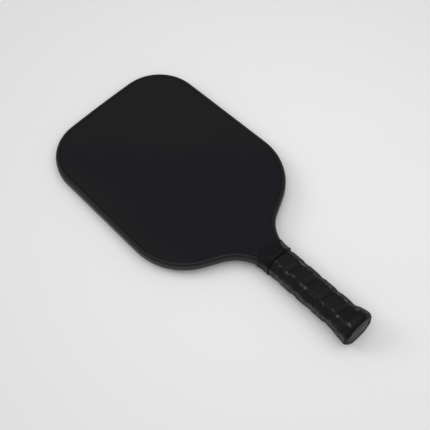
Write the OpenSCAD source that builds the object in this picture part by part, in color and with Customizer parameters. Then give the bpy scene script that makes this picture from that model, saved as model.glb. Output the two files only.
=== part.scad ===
// Pickleball paddle: a honeycomb panel with composite skins, a channel edge guard and an
// eight-sided handle built up on the panel's tongue, wrapped with a cushion grip.
// X runs across the paddle, Y from the butt cap to the tip, Z out of the front hitting face.
// The origin is the centre of the butt cap's end face.

/* [Overall] */
// Length of the paddle from the butt cap's end to the tip
paddle_length = 406; // [335:1:490]
// Width of the head over the edge guard between its shoulder corners, before they are rounded
head_width = 202.5; // [165:0.5:245]

/* [Head outline] */
// How much narrower each side is at the top corners than at the shoulders
side_taper = 6.5; // [2:0.5:12]
// How far the top corners lie below the tip
crown_drop = 2; // [0.5:0.5:6]
// Radius of the two top corners
corner_radius = 53; // [30:1:64]
// Height of the shoulder corners above the throat corners
shoulder_rise = 43; // [34:1:60]
// Radius of the two shoulders
shoulder_radius = 71; // [40:1:86]
// Height of the throat corners above the guard's ends
throat_rise = 15; // [12:0.5:18]
// Radius of the hollow curve between the head and the neck
throat_radius = 46; // [38:1:56]

/* [Panel] */
// Thickness of the honeycomb core
core_thickness = 11; // [9:0.5:14]
// Thickness of each composite face sheet
face_thickness = 0.45; // [0.3:0.05:0.8]
// Thickness of each adhesive film between core and face
film_thickness = 0.1; // [0.05:0.05:0.2]
// Distance from one honeycomb cell to the next
cell_pitch = 8; // [6.5:0.5:14]
// Wall between two honeycomb cells
cell_wall = 0.4; // [0.3:0.1:1]
// Solid border left between the outermost cells and the panel's edge
cell_border = 0.8; // [0.4:0.1:3]

/* [Edge guard] */
// Thickness of the guard's outer wall
guard_wall = 1.3; // [0.8:0.1:2]
// Thickness of the two lips that lie on the faces
guard_lip_thickness = 0.7; // [0.4:0.1:1.2]
// How far each lip reaches in from the outside of the guard
guard_lip_reach = 5; // [4:0.5:8]
// Outside corner radius of the guard's section
guard_corner = 2.2; // [0.8:0.1:3]
// Thickness of the double-sided tape inside the guard
guard_tape = 0.2; // [0.1:0.05:0.4]

/* [Handle] */
// Height above the butt where the visible wrap ends
grip_top = 115.5; // [90:0.5:145]
// Width of the wrapped grip across the flats
grip_width = 34; // [28:0.5:42]
// Depth of the wrapped grip, face to face
grip_depth = 30; // [26:0.5:38]
// Share of the depth that each corner flat of the eight-sided handle cuts off
corner_flat = 0.27; // [0.2:0.01:0.3]
// Wood left in the pallets at each side of the tongue
pallet_side = 4; // [3:0.5:6]
// Adhesive between each pallet and the tongue
pallet_bond = 0.1; // [0.05:0.05:0.3]
// Length of the pallets' ramp below the guard's ends
ramp_length = 11; // [9:0.5:11]
// Length that the pallets and the collar reach past the guard's ends on each face
ramp_tip = 6; // [3:0.5:9]
// Thickness of the cushion grip wrap
wrap_thickness = 1.8; // [1.4:0.1:2.5]
// Thickness of the double-sided tape under the wrap
underlay_thickness = 0.2; // [0.1:0.05:0.4]
// Length of the thinned end of the wrap under the collar
wrap_tail = 3.6; // [2:0.2:4]
// How much thinner the wrap is in its tail
tail_step = 0.9; // [0.6:0.1:1.1]
// Thickness of the finishing tape round the wrap's tail
finish_tape = 0.3; // [0.15:0.05:0.5]

/* [Butt cap] */
// Width of the butt over the wrap
butt_width = 39.6; // [36:0.2:47.6]
// Length of the flare from the butt to the straight grip
flare_length = 27; // [22:1:34]
// Length of the bare chamfered rim of the cap
rim_length = 3.6; // [3:0.2:5]
// How far the rim's chamfer cuts in on each side
rim_chamfer = 2.4; // [1:0.2:3]
// Thickness of the cap's floor
cap_floor = 4.6; // [3.6:0.2:7]
// Rebate in the pallets that the cap's sleeve sits in
cap_rebate = 0.8; // [0.6:0.1:1.2]
// Thickness of the end plate
plate_thickness = 0.8; // [0.5:0.1:1]
// Adhesive under the end plate
plate_adhesive = 0.15; // [0.1:0.05:0.3]
// Border of the cap's end face around the end plate
plate_border = 4; // [3:0.2:6]
// Height of the tacks that hold the cap
tack_height = 14; // [12:0.5:18]
// Radius of a tack's shank
tack_radius = 0.7; // [0.4:0.1:1]
// Width of the staple that holds the wrap's start
staple_width = 8; // [6:0.5:10]
// Thickness of the staple's wire
staple_wire = 0.6; // [0.4:0.1:0.8]

/* [Collar] */
// Thickness of the rubber collar's wall
collar_wall = 0.9; // [0.6:0.1:1.5]
// Length of the collar from its ring to the guard's ends
collar_length = 15.5; // [14:0.5:20]
// Length of the raised ring at the collar's lower end
ring_length = 1.6; // [1:0.1:3]
// Height of the raised ring over the wrap
ring_height = 0.9; // [0.3:0.1:1.2]

/* [Hidden] */

panel_thickness = core_thickness + 2 * (film_thickness + face_thickness);
panel_inset = guard_wall + guard_tape;
under_wrap = wrap_thickness + underlay_thickness;
pallet_width = grip_width - 2 * under_wrap;
pallet_depth = grip_depth - 2 * under_wrap;
tongue_width = pallet_width - 2 * pallet_side;
bond_height = panel_thickness / 2 + pallet_bond;
plate_recess = plate_thickness + plate_adhesive;

guard_end = grip_top + collar_length;
tail_end = grip_top + wrap_tail;
ramp_start = guard_end - ramp_length;
ramp_end = guard_end + ramp_tip;
tongue_start = cap_floor + 1;
tongue_shoulder = guard_end - 8;
neck_half = grip_width / 2;
tip_half = neck_half - guard_lip_reach;
flare_start = rim_length + 4;
flare_middle = (flare_start + flare_length) / 2;
butt_grow = butt_width - grip_width;
arc_step = 5;
cut = 0.01;

// ---- Outline of the head ----

function unit(v) = v / norm(v);
function turn_right(v) = [v[1], -v[0]];
function bearing(v) = atan2(v[1], v[0]);
function across(p) = [-p[0], p[1]];

top_half = head_width / 2 - side_taper;
throat_corner = [neck_half, guard_end + throat_rise];
shoulder_corner = [head_width / 2, throat_corner[1] + shoulder_rise];

// The crown is a flat arc between the two top lines, and its highest point is the tip.
crown_slope = atan(crown_drop / top_half);
crown_radius = 0.85 * (top_half - corner_radius) / tan(crown_slope);
crown_corner = [0, paddle_length + crown_radius * (1 / cos(crown_slope) - 1)];
top_corner = [top_half, crown_corner[1] - crown_drop];

// One rounded corner as stations [point, outward normal] on a circle that touches both lines.
// The circle lies inside the outline where it turns left and outside where it turns right.
function corner_stations(before, corner, after, radius) =
  let (
    to_before = unit(before - corner),
    to_after = unit(after - corner),
    half = acos(to_before * to_after) / 2,
    centre = corner + unit(to_before + to_after) * radius / sin(half),
    from = bearing(turn_right(-to_before)),
    swing = (bearing(turn_right(to_after)) - from + 540) % 360 - 180,
    count = max(1, ceil(abs(swing) / arc_step))
  )
  [for (i = [0:count]) let (a = from + swing * i / count, normal = [cos(a), sin(a)])
    [centre + sign(swing) * radius * normal, normal]];

throat_curve = corner_stations([neck_half, 0], throat_corner, shoulder_corner, throat_radius);
shoulder_curve = corner_stations(throat_corner, shoulder_corner, top_corner, shoulder_radius);
corner_curve = corner_stations(shoulder_corner, top_corner, crown_corner, corner_radius);
crown_curve = corner_stations(top_corner, crown_corner, across(top_corner), crown_radius);

// The guard's first station: the point of the throat's curve at the height of the guard's end.
throat_centre = [neck_half + throat_radius, throat_curve[0][0][1]];
end_bearing = -asin((guard_end - throat_centre[1]) / throat_radius);
end_normal = [cos(end_bearing), sin(end_bearing)];
end_station = [throat_centre - throat_radius * end_normal, end_normal];

right_side = concat(
  [end_station],
  [for (s = throat_curve) if (s[0][1] > guard_end + 1) s],
  shoulder_curve,
  corner_curve,
  [crown_curve[0]]
);
tip_station = [[0, paddle_length], [0, 1]];
left_side = [for (i = [len(right_side) - 1:-1:0]) [for (v = right_side[i]) across(v)]];
guard_path = concat(right_side, [tip_station], left_side);

function offset_path(d) = [for (s = guard_path) s[0] + d * s[1]];

// The panel: the head inside the guard, then the tongue that runs down inside the handle.
function tongue_side(grow) = [
  [tongue_width / 2 + grow, tongue_start - grow],
  [tongue_width / 2 + grow, tongue_shoulder]
];
function panel_outline(grow) = concat(
  tongue_side(grow),
  offset_path(grow - panel_inset),
  [for (i = [1, 0]) across(tongue_side(grow)[i])]
);

module panel_slab(bottom, thickness, grow = 0) {
  translate([0, 0, bottom])
    linear_extrude(thickness)
      polygon(panel_outline(grow));
}

// ---- Honeycomb ----

// Half the panel's width at a height, read off the right side of its outline.
half_widths = [for (p = concat(tongue_side(0), [for (s = right_side) s[0] - panel_inset * s[1]]))
  [p[1], p[0]]];
function inside_panel(p) =
  p[1] > tongue_start + cell_border
  && p[1] < crown_curve[0][0][1] - panel_inset - cell_border
  && abs(p[0]) < lookup(p[1], half_widths) - cell_border;

cell_radius = (cell_pitch - cell_wall) / sqrt(3);
row_pitch = cell_pitch * sqrt(3) / 2;
cell_corners = [for (i = [0:5]) cell_radius * [cos(60 * i + 30), sin(60 * i + 30)]];
cell_columns = ceil(head_width / cell_pitch / 2);
cell_centres = [
  for (row = [0:ceil(paddle_length / row_pitch)], column = [-cell_columns:cell_columns])
  let (centre = [(column + (row % 2) / 2 + 0.25) * cell_pitch, tongue_start + row * row_pitch])
  if (min([for (c = cell_corners) inside_panel(centre + c) ? 1 : 0]) == 1) centre
];

// ---- Eight-sided handle sections ----

// A ring of eight points at height y, with width w, depth d and c cut off each corner.
function ring(y, w, d, share = corner_flat) =
  let (x = w / 2, z = d / 2, c = d * share)
  [[x, y, -z + c], [x, y, z - c], [x - c, y, z], [-x + c, y, z],
    [-x, y, z - c], [-x, y, -z + c], [-x + c, y, -z], [x - c, y, -z]];

// A solid skinned over rings of eight points each, in the order of their heights.
module loft(rings) {
  last = len(rings) - 1;
  polyhedron(
    points = [for (r = rings) each r],
    faces = concat(
      [[for (i = [7:-1:0]) i]],
      [for (k = [0:last - 1], i = [0:7])
        [k * 8 + i, k * 8 + (i + 1) % 8, (k + 1) * 8 + (i + 1) % 8, (k + 1) * 8 + i]],
      [[for (i = [0:7]) last * 8 + i]]
    )
  );
}

// How much wider than the straight grip the flared butt is at a height.
function flare(y) = lookup(y, [[flare_start, butt_grow], [flare_middle, butt_grow * 0.42],
  [flare_length, 0]]);
function grip_ring(y, inset) =
  ring(y, grip_width + flare(y) - 2 * inset, grip_depth + flare(y) - 2 * inset);
function grip_rings(inset, from, to) =
  [for (y = [from, flare_start, flare_middle, flare_length, to]) grip_ring(y, inset)];

// The pallets' outside over the full depth, with the ramps that run out onto the faces.
function ramp_depth(share) = panel_thickness + (pallet_depth - panel_thickness) * share;
pallet_rings = [
  ring(cap_floor, pallet_width - 2 * cap_rebate, pallet_depth - 2 * cap_rebate),
  ring(flare_length, pallet_width - 2 * cap_rebate, pallet_depth - 2 * cap_rebate),
  ring(flare_length, pallet_width, pallet_depth),
  ring(ramp_start, pallet_width, pallet_depth),
  ring(guard_end - ramp_length / 2, pallet_width, ramp_depth(0.8)),
  ring(guard_end - 1, pallet_width - 2, ramp_depth(0.42)),
  ring(guard_end, 2 * tip_half - 1, ramp_depth(0.38)),
  ring(ramp_end, tip_half, 2 * bond_height + 0.4)
];

// ---- Sub-parts ----

module core_panel() {
  color("gainsboro")
    translate([0, 0, -core_thickness / 2])
      linear_extrude(core_thickness)
        difference() {
          polygon(panel_outline(0));
          for (centre = cell_centres)
            translate(centre)
              polygon(cell_corners);
        }
}

module bond_film(side) {
  middle = (core_thickness + film_thickness) / 2;
  color("khaki")
    panel_slab(side * middle - film_thickness / 2, film_thickness);
}

module face_sheet(side) {
  middle = (panel_thickness - face_thickness) / 2;
  color("#1d1c22")
    panel_slab(side * middle - face_thickness / 2, face_thickness);
}

module edge_guard_tape() {
  outer = offset_path(-guard_wall);
  inner = offset_path(-panel_inset);
  color("whitesmoke")
    translate([0, 0, -core_thickness / 2])
      linear_extrude(core_thickness)
        polygon(concat(outer, [for (i = [len(inner) - 1:-1:0]) inner[i]]));
}

// The guard's section, as [outward, up]: a channel with rounded outside corners.
guard_top = panel_thickness / 2 + guard_lip_thickness;
guard_quarter = concat(
  [[-guard_wall, panel_thickness / 2], [-guard_lip_reach, panel_thickness / 2],
    [-guard_lip_reach, guard_top - guard_lip_thickness / 2],
    [-guard_lip_reach + guard_lip_thickness / 2, guard_top]],
  [for (a = [90:-22.5:0]) [guard_corner * (cos(a) - 1), guard_top + guard_corner * (sin(a) - 1)]]
);
guard_section = concat(guard_quarter,
  [for (i = [len(guard_quarter) - 1:-1:0]) [guard_quarter[i][0], -guard_quarter[i][1]]]);

module edge_guard() {
  n = len(guard_section);
  last = len(guard_path) - 1;
  color("#17171a")
    polyhedron(
      points = [for (s = guard_path, p = guard_section)
        [s[0][0] + p[0] * s[1][0], s[0][1] + p[0] * s[1][1], p[1]]],
      faces = concat(
        [[for (i = [0:n - 1]) i]],
        [for (k = [0:last - 1], i = [0:n - 1])
          [k * n + i, (k + 1) * n + i, (k + 1) * n + (i + 1) % n, k * n + (i + 1) % n]],
        [[for (i = [n - 1:-1:0]) last * n + i]]
      )
    );
}

module front_half() {
  intersection() {
    children();
    translate([-grip_width, 0, 0])
      cube([2 * grip_width, paddle_length, grip_depth]);
  }
}

module pallet_bond_film() {
  color("khaki")
    intersection() {
      panel_slab(panel_thickness / 2, pallet_bond);
      loft(pallet_rings);
    }
}

module pallet() {
  color("burlywood")
    difference() {
      front_half()
        loft(pallet_rings);
      panel_slab(-bond_height, 2 * bond_height, pallet_bond);
      tacks();
      staple();
    }
}

// Four tacks through the cap's two narrow sides, two into each pallet. Their heads lie below
// the cap's outside at both their lower and their upper edge.
tack_flare = min(flare(tack_height - 2 * tack_radius), flare(tack_height + 2 * tack_radius));
tack_side = (grip_width + tack_flare) / 2 - under_wrap;
tack_head = 0.5;
tack_offset = pallet_depth * 0.16;

module tacks() {
  for (side = [-1, 1], up = [-1, 1])
    translate([side * tack_side, tack_height, up * tack_offset])
      rotate([0, -90 * side, 0]) {
        cylinder(r = 2 * tack_radius, h = tack_head, $fn = 32);
        cylinder(r = tack_radius, h = tack_side - tongue_width / 2 - 0.4, $fn = 32);
      }
}

module butt_cap() {
  color("#141416")
    difference() {
      loft(concat(
        [ring(0, butt_width - 2 * rim_chamfer, grip_depth + butt_grow - 2 * rim_chamfer),
          ring(rim_length * 0.8, butt_width - 0.8, grip_depth + butt_grow - 0.8),
          ring(rim_length, butt_width - 0.8, grip_depth + butt_grow - 0.8)],
        [for (y = [rim_length, flare_start, flare_middle, flare_length])
          grip_ring(y, under_wrap)]
      ));
      loft([for (y = [cap_floor, flare_length + 1])
        ring(y, pallet_width - 2 * cap_rebate, pallet_depth - 2 * cap_rebate)]);
      loft([for (y = [-1, plate_recess]) plate_ring(y, 0)]);
      tacks();
      staple();
    }
}

module butt_cap_tacks() {
  color("silver")
    tacks();
}

function plate_ring(y, gap) =
  ring(y, butt_width - 2 * (rim_chamfer + plate_border + gap),
    grip_depth + butt_grow - 2 * (rim_chamfer + plate_border + gap));

module end_plate_adhesive() {
  color("khaki")
    loft([for (y = [plate_thickness, plate_recess]) plate_ring(y, 0.3)]);
}

module end_plate() {
  color("#2b2b2e")
    loft([for (y = [0, plate_thickness]) plate_ring(y, 0.1)]);
}

module grip_underlay() {
  color("ivory")
    difference() {
      loft(grip_rings(wrap_thickness, rim_length, tail_end));
      loft(grip_rings(under_wrap, rim_length - cut, tail_end + cut));
      staple();
    }
}

module grip_wrap() {
  tail_width = grip_width - 2 * tail_step;
  tail_depth = grip_depth - 2 * tail_step;
  color("#1a1a1a")
    difference() {
      loft(concat(
        grip_rings(0, rim_length, grip_top),
        [for (y = [grip_top, tail_end]) ring(y, tail_width, tail_depth)]
      ));
      loft(grip_rings(wrap_thickness, rim_length - cut, tail_end + cut));
      staple();
    }
}

// The staple lies in the wrap on the right side of the butt, its legs down into the pallets.
staple_outer = butt_width / 2 - wrap_thickness / 2;

module staple() {
  middle = (rim_length + flare_start) / 2;
  leg = staple_outer - tongue_width / 2 - 1;
  translate([staple_outer - leg, middle - staple_wire / 2, -staple_width / 2])
    difference() {
      cube([leg, staple_wire, staple_width]);
      translate([-cut, -cut, staple_wire])
        cube([leg - staple_wire + cut, staple_wire + 2 * cut, staple_width - 2 * staple_wire]);
    }
}

module grip_staple() {
  color("silver")
    staple();
}

module finishing_tape() {
  width = grip_width - 2 * tail_step;
  depth = grip_depth - 2 * tail_step;
  color("#222222")
    difference() {
      loft([for (y = [grip_top, tail_end])
        ring(y, width + 2 * finish_tape, depth + 2 * finish_tape)]);
      loft([for (y = [grip_top - cut, tail_end + cut]) ring(y, width, depth)]);
    }
}

module collar() {
  tape_width = grip_width - 2 * (tail_step - finish_tape);
  tape_depth = grip_depth - 2 * (tail_step - finish_tape);
  over_ring = 2 * ring_height;
  over_neck = 2 * (end_station[0][0] - 0.5);
  wall = 2 * collar_wall;
  color("#151517")
    difference() {
      loft([
        ring(grip_top, grip_width + over_ring, grip_depth + over_ring),
        ring(grip_top + ring_length, grip_width + over_ring, grip_depth + over_ring),
        ring(grip_top + ring_length, grip_width + 0.6, grip_depth + 0.6),
        ring(ramp_start, grip_width + 0.6, grip_depth + 0.6),
        ring(guard_end - ramp_length / 2, grip_width + 1.2, ramp_depth(0.8) + wall, 0.25),
        ring(guard_end - 0.6, over_neck, ramp_depth(0.42) + wall, 0.16),
        ring(guard_end, 2 * tip_half - 1 + wall, ramp_depth(0.38) + wall, 0.2),
        ring(ramp_end + collar_wall, tip_half + wall, 2 * bond_height + wall, 0.2)
      ]);
      loft(pallet_rings);
      panel_slab(-panel_thickness / 2, panel_thickness);
      loft([for (y = [grip_top - cut, tail_end]) ring(y, tape_width, tape_depth)]);
    }
}

core_panel();
bond_film(1);  // front_bond_film
bond_film(-1);  // back_bond_film
face_sheet(1);  // front_face
face_sheet(-1);  // back_face
edge_guard_tape();
edge_guard();
pallet_bond_film();  // front_pallet_bond
mirror([0, 0, 1]) pallet_bond_film();  // back_pallet_bond
pallet();  // front_pallet
mirror([0, 0, 1]) pallet();  // back_pallet
butt_cap();
butt_cap_tacks();
end_plate_adhesive();
end_plate();
grip_underlay();
grip_wrap();
grip_staple();
finishing_tape();
collar();
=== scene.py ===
"""The finish of a pickleball paddle, built up piece by piece around its CAD frame.

X runs across the paddle, Y from the butt to the tip, Z out of the front hitting face. Shapes are
worked out in millimetres and become metres in add_piece. Materials, the table, the lights and the
camera are in metres throughout.
"""

import math

import bpy
import numpy as np
from mathutils import Matrix, Vector


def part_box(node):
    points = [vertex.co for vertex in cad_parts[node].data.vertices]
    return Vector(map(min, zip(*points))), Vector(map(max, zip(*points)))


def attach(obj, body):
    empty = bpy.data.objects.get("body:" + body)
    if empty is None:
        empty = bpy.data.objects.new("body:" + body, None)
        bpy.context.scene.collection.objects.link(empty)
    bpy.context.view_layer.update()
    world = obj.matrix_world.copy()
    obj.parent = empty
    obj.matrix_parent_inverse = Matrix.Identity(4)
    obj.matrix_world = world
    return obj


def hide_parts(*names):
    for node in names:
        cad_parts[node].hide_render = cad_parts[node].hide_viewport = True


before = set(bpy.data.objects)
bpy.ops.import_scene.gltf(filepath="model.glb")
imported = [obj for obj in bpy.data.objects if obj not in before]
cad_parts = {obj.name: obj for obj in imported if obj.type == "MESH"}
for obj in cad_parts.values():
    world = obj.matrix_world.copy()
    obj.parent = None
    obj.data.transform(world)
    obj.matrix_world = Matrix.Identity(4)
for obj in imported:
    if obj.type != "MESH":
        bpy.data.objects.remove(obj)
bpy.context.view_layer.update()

# ---------------------------------------------------------------------------------------------
# Core panel. A sheet of natural polypropylene honeycomb with 8 mm cells, sawn to the outline of
# the head with a tongue that runs down inside the handle. The films on its two sides bond it.
# ---------------------------------------------------------------------------------------------


class Wire:
    """A node's output that takes part in sums. Each operator adds one Math node to its finish."""

    def __init__(self, finish, socket):
        self.finish = finish
        self.socket = socket

    def maths(self, operation, *values):
        """A Math node of a named operation on wires and plain numbers."""
        inputs = dict(enumerate(values))
        return self.finish.node("ShaderNodeMath", {"operation": operation}, inputs)

    def __add__(self, other):
        return self.maths("ADD", self, other)

    def __sub__(self, other):
        return self.maths("SUBTRACT", self, other)

    def __rsub__(self, other):
        return self.maths("SUBTRACT", other, self)

    def __mul__(self, other):
        return self.maths("MULTIPLY", self, other)

    __radd__ = __add__
    __rmul__ = __mul__


class Finish:
    """One material: a Principled shader with fixed values, and the nodes that feed it."""

    def __init__(self, name, **fixed):
        self.material = bpy.data.materials.new(name)
        self.material.use_nodes = True
        self.tree = self.material.node_tree
        self.shader = self.tree.nodes["Principled BSDF"]
        for words, value in fixed.items():
            self.shader.inputs[words.replace("_", " ")].default_value = value

    def node(self, kind, settings=None, inputs=None, output=0):
        """Adds a node, with its settings first and then its sockets, and gives one output."""
        made = self.tree.nodes.new(kind)
        for name, value in (settings or {}).items():
            setattr(made, name, value)
        for key, value in (inputs or {}).items():
            self.feed(self.pick(made.inputs, key), value)
        return Wire(self, self.pick(made.outputs, output))

    def pick(self, sockets, key):
        """A socket by its number, or by its name among those that the node's settings leave on."""
        if isinstance(key, int):
            return sockets[key]
        return next(s for s in sockets if s.name == key and s.enabled)

    def feed(self, socket, value):
        """Links a wire to a socket, or sets the socket to a plain value."""
        if isinstance(value, Wire):
            self.tree.links.new(value.socket, socket)
        else:
            socket.default_value = value

    def set(self, **fed):
        """Links or sets sockets of the shader, such as Base_Color or Roughness."""
        for words, value in fed.items():
            self.feed(self.shader.inputs[words.replace("_", " ")], value)
        return self

    def place(self):
        """Where a point lies on the paddle, in metres."""
        return self.node("ShaderNodeTexCoord", output="Object")

    def stretched(self, where, x, y, z):
        """A place with each axis multiplied, which squeezes a pattern along that axis."""
        return self.node("ShaderNodeVectorMath", {"operation": "MULTIPLY"},
                         {0: where, 1: (x, y, z)})

    def noise(self, where, scale, detail=2.0, roughness=0.5):
        """Cloudy noise, about 0 to 1, with scale blobs in each metre."""
        return self.node("ShaderNodeTexNoise", {"noise_dimensions": "3D"},
                         {"Vector": where, "Scale": scale, "Detail": detail,
                          "Roughness": roughness})

    def ramp(self, value, low, high, dark=0.0, light=1.0):
        """Dark up to low, light from high on, and a smooth rise between them."""
        return self.node("ShaderNodeMapRange", {"interpolation_type": "SMOOTHSTEP"},
                         {"Value": value, "From Min": low, "From Max": high,
                          "To Min": dark, "To Max": light})

    def blend(self, factor, first, second):
        """A colour that goes from the first to the second as the factor goes from 0 to 1."""
        return self.node("ShaderNodeMix", {"data_type": "RGBA"},
                         {"Factor": factor, "A": first, "B": second}, "Result")

    def bumped(self, height, depth, strength=1.0):
        """Turns a height of 0 to 1 into a relief that is depth metres deep."""
        relief = self.node("ShaderNodeBump", {}, {"Height": height, "Distance": depth,
                                                  "Strength": strength})
        return self.set(Normal=relief)


def grey(level, red=1.0, green=1.0, blue=1.0):
    """A dark neutral colour, with a share of tint in each channel."""
    return (level * red, level * green, level * blue, 1.0)


def finish_node(name, finish):
    """Gives a CAD node its material."""
    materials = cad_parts[name].data.materials
    materials.clear()
    materials.append(finish.material)


def polypropylene():
    """Milky natural plastic, slightly cloudy, with fine drawn lines along the cells' walls."""
    finish = Finish("honeycomb_polypropylene")
    place = finish.place()
    cloud = finish.noise(place, 60.0, 4.0)
    finish.set(Base_Color=finish.blend(cloud, (0.70, 0.73, 0.72, 1.0), (0.86, 0.88, 0.86, 1.0)),
               Roughness=finish.ramp(cloud, 0.3, 0.7, 0.36, 0.5))
    return finish.bumped(finish.noise(finish.stretched(place, 900.0, 900.0, 120.0), 1.0), 0.0001)


finish_node("core_panel", polypropylene())

# ---------------------------------------------------------------------------------------------
# Bonds. Films of cured epoxy between the core and its faces, and between the tongue and the
# pallets, and a pad of the same under the end plate. They are pressed thin and slightly blotchy.
# ---------------------------------------------------------------------------------------------


def cured_epoxy():
    """Amber resin in uneven blotches, with small burst bubbles."""
    finish = Finish("cured_epoxy", Coat_Weight=0.2)
    place = finish.place()
    blotch = finish.noise(place, 140.0, 5.0, 0.6)
    bubbles = finish.node("ShaderNodeTexVoronoi", {"feature": "F1"},
                          {"Vector": place, "Scale": 420.0}, "Distance")
    finish.set(Base_Color=finish.blend(blotch, (0.58, 0.50, 0.30, 1.0), (0.80, 0.74, 0.52, 1.0)),
               Roughness=finish.ramp(blotch, 0.35, 0.7, 0.25, 0.45))
    return finish.bumped(finish.ramp(bubbles, 0.05, 0.3), 0.00008)


epoxy = cured_epoxy()
for name in ("front_bond_film", "back_bond_film", "front_pallet_bond", "back_pallet_bond",
             "end_plate_adhesive"):
    finish_node(name, epoxy)

# ---------------------------------------------------------------------------------------------
# Faces. Two thin sheets of fibre composite, painted matte black with a fine peel that grips the
# ball. The core's cells telegraph through them by a few hundredths of a millimetre.
# ---------------------------------------------------------------------------------------------


def face_paint():
    """Matte black with a fine peel. It is bluish where it is fresh, and neutral and a little
    lighter where play has rubbed it, towards the tip and along one side."""
    finish = Finish("matte_face_paint", Specular_IOR_Level=0.16)
    place = finish.place()

    # The nearest cell centre of two rectangular lattices that together make the honeycomb.
    pitch = 0.008
    lattice = (pitch, pitch * math.sqrt(3.0), 1000.0)
    half = tuple(size / 2 for size in lattice)

    def cell(shift):
        """Distance from a lattice's nearest centre. A shift of many whole cells keeps the
        remainder positive."""
        moved = finish.node("ShaderNodeVectorMath", {"operation": "ADD"},
                            {0: place, 1: tuple(start + 400 * size
                                                for start, size in zip(shift, lattice))})
        wrapped = finish.node("ShaderNodeVectorMath", {"operation": "MODULO"},
                              {0: moved, 1: lattice})
        centred = finish.node("ShaderNodeVectorMath", {"operation": "SUBTRACT"},
                              {0: wrapped, 1: half})
        flat = finish.stretched(centred, 1.0, 1.0, 0.0)
        return finish.node("ShaderNodeVectorMath", {"operation": "LENGTH"}, {0: flat}, "Value")

    across_shift, along_shift = 0.002, -0.0056
    first = cell((across_shift, along_shift, 0.0))
    second = cell((across_shift + half[0], along_shift + half[1], 0.0))
    nearest = first.maths("MINIMUM", first, second)
    wall = finish.ramp(nearest, pitch * 0.38, pitch * 0.55)

    peel = finish.noise(place, 2600.0, 3.0, 0.6)
    cloud = finish.noise(place, 9.0, 3.0, 0.45)
    smudge = finish.noise(finish.stretched(place, 30.0, 11.0, 30.0), 1.0, 4.0, 0.55)
    dust = finish.ramp(finish.noise(place, 700.0, 2.0, 0.5), 0.74, 0.8)
    diagonal = finish.node("ShaderNodeVectorMath", {"operation": "DOT_PRODUCT"},
                           {0: place, 1: (0.707, 0.707, 0.0)}, "Value")
    beside = finish.node("ShaderNodeVectorMath", {"operation": "DOT_PRODUCT"},
                         {0: place, 1: (-1.0, 0.0, 0.0)}, "Value")
    worn = diagonal.maths("MAXIMUM", finish.ramp(diagonal + cloud * 0.12, 0.25, 0.32),
                          finish.ramp(beside + cloud * 0.06, 0.085, 0.125) * 0.8)
    paint = finish.blend(worn, grey(0.0042, 1.0, 0.90, 1.75), grey(0.0068, 1.0, 0.99, 1.02))
    finish.set(Base_Color=finish.blend(dust * 0.35, paint, grey(0.05)),
               Roughness=finish.ramp(smudge, 0.3, 0.72, 0.66, 0.56))
    return finish.bumped(peel + wall * 0.25, 0.00005, 0.8)


faces = face_paint()
for name in ("front_face", "back_face"):
    finish_node(name, faces)

# ---------------------------------------------------------------------------------------------
# Guard tape. A strip of white double-sided tissue tape round the panel's edge, inside the guard.
# It holds the guard to the panel, and its weave shows faintly through the adhesive.
# ---------------------------------------------------------------------------------------------


def tissue_tape():
    """Off-white paper whose crossed fibres make a fine square weave."""
    finish = Finish("tissue_tape")
    place = finish.place()
    across = finish.node("ShaderNodeTexWave", {"bands_direction": "DIAGONAL"},
                         {"Vector": place, "Scale": 700.0, "Distortion": 1.5})
    along = finish.node("ShaderNodeTexWave", {"bands_direction": "Z"},
                        {"Vector": place, "Scale": 700.0, "Distortion": 1.0})
    weave = across * along
    cloud = finish.noise(place, 90.0, 3.0)
    finish.set(Base_Color=finish.blend(cloud, (0.72, 0.72, 0.68, 1.0), (0.84, 0.84, 0.81, 1.0)),
               Roughness=finish.ramp(weave, 0.1, 0.9, 0.75, 0.55))
    return finish.bumped(weave, 0.00008)


finish_node("edge_guard_tape", tissue_tape())

# ---------------------------------------------------------------------------------------------
# Edge guard. A channel of soft black plastic, extruded straight and pressed round the panel's
# edge from the throat over the tip and back. It is cut square at both ends beside the collar.
# ---------------------------------------------------------------------------------------------

MM = 0.001
LOWEST, HIGHEST = 0, 1
ALONG, UP = 1, 2


def reach(node, end, axis):
    """How far a CAD node reaches at one end of an axis, in millimetres to two places."""
    return round(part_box(node)[end][axis] / MM, 2)


def add_piece(name, points, faces_of, finish, stands_for, path_map=None, sharp_deg=38.0):
    """Makes one closed mesh from points in millimetres, its faces turned to look outwards.

    The sign of its volume, a sum over triangles fanned from each face, says which way it looks.
    """
    points = np.asarray(points, float)
    volume = 0.0
    for block in faces_of:
        block = np.asarray(block)
        corner = points[block]
        for k in range(1, block.shape[1] - 1):
            volume += np.einsum("ij,ij->", corner[:, 0], np.cross(corner[:, k], corner[:, k + 1]))
    turned = [np.asarray(b)[:, ::-1] if volume < 0 else np.asarray(b) for b in faces_of]
    mesh = bpy.data.meshes.new(name)
    sizes = np.concatenate([np.full(len(b), b.shape[1]) for b in turned]).astype(np.int32)
    corners = np.concatenate([b.ravel() for b in turned]).astype(np.int32)
    mesh.vertices.add(len(points))
    mesh.vertices.foreach_set("co", (points * MM).astype(np.float32).ravel())
    mesh.loops.add(len(corners))
    mesh.loops.foreach_set("vertex_index", corners)
    mesh.polygons.add(len(sizes))
    starts = np.concatenate([[0], np.cumsum(sizes)[:-1]]).astype(np.int32)
    mesh.polygons.foreach_set("loop_start", starts)
    mesh.polygons.foreach_set("use_smooth", np.ones(len(sizes), bool))
    mesh.update(calc_edges=True)
    mesh.validate()
    if path_map is not None:
        layer = mesh.uv_layers.new(name="along")
        layer.data.foreach_set("uv", np.asarray(path_map, np.float32)[corners].ravel())
    mesh.set_sharp_from_angle(angle=math.radians(sharp_deg))
    mesh.materials.append(finish.material)
    piece = bpy.data.objects.new(name, mesh)
    bpy.context.scene.collection.objects.link(piece)
    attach(piece, "root")
    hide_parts(*stands_for)
    return piece


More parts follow.
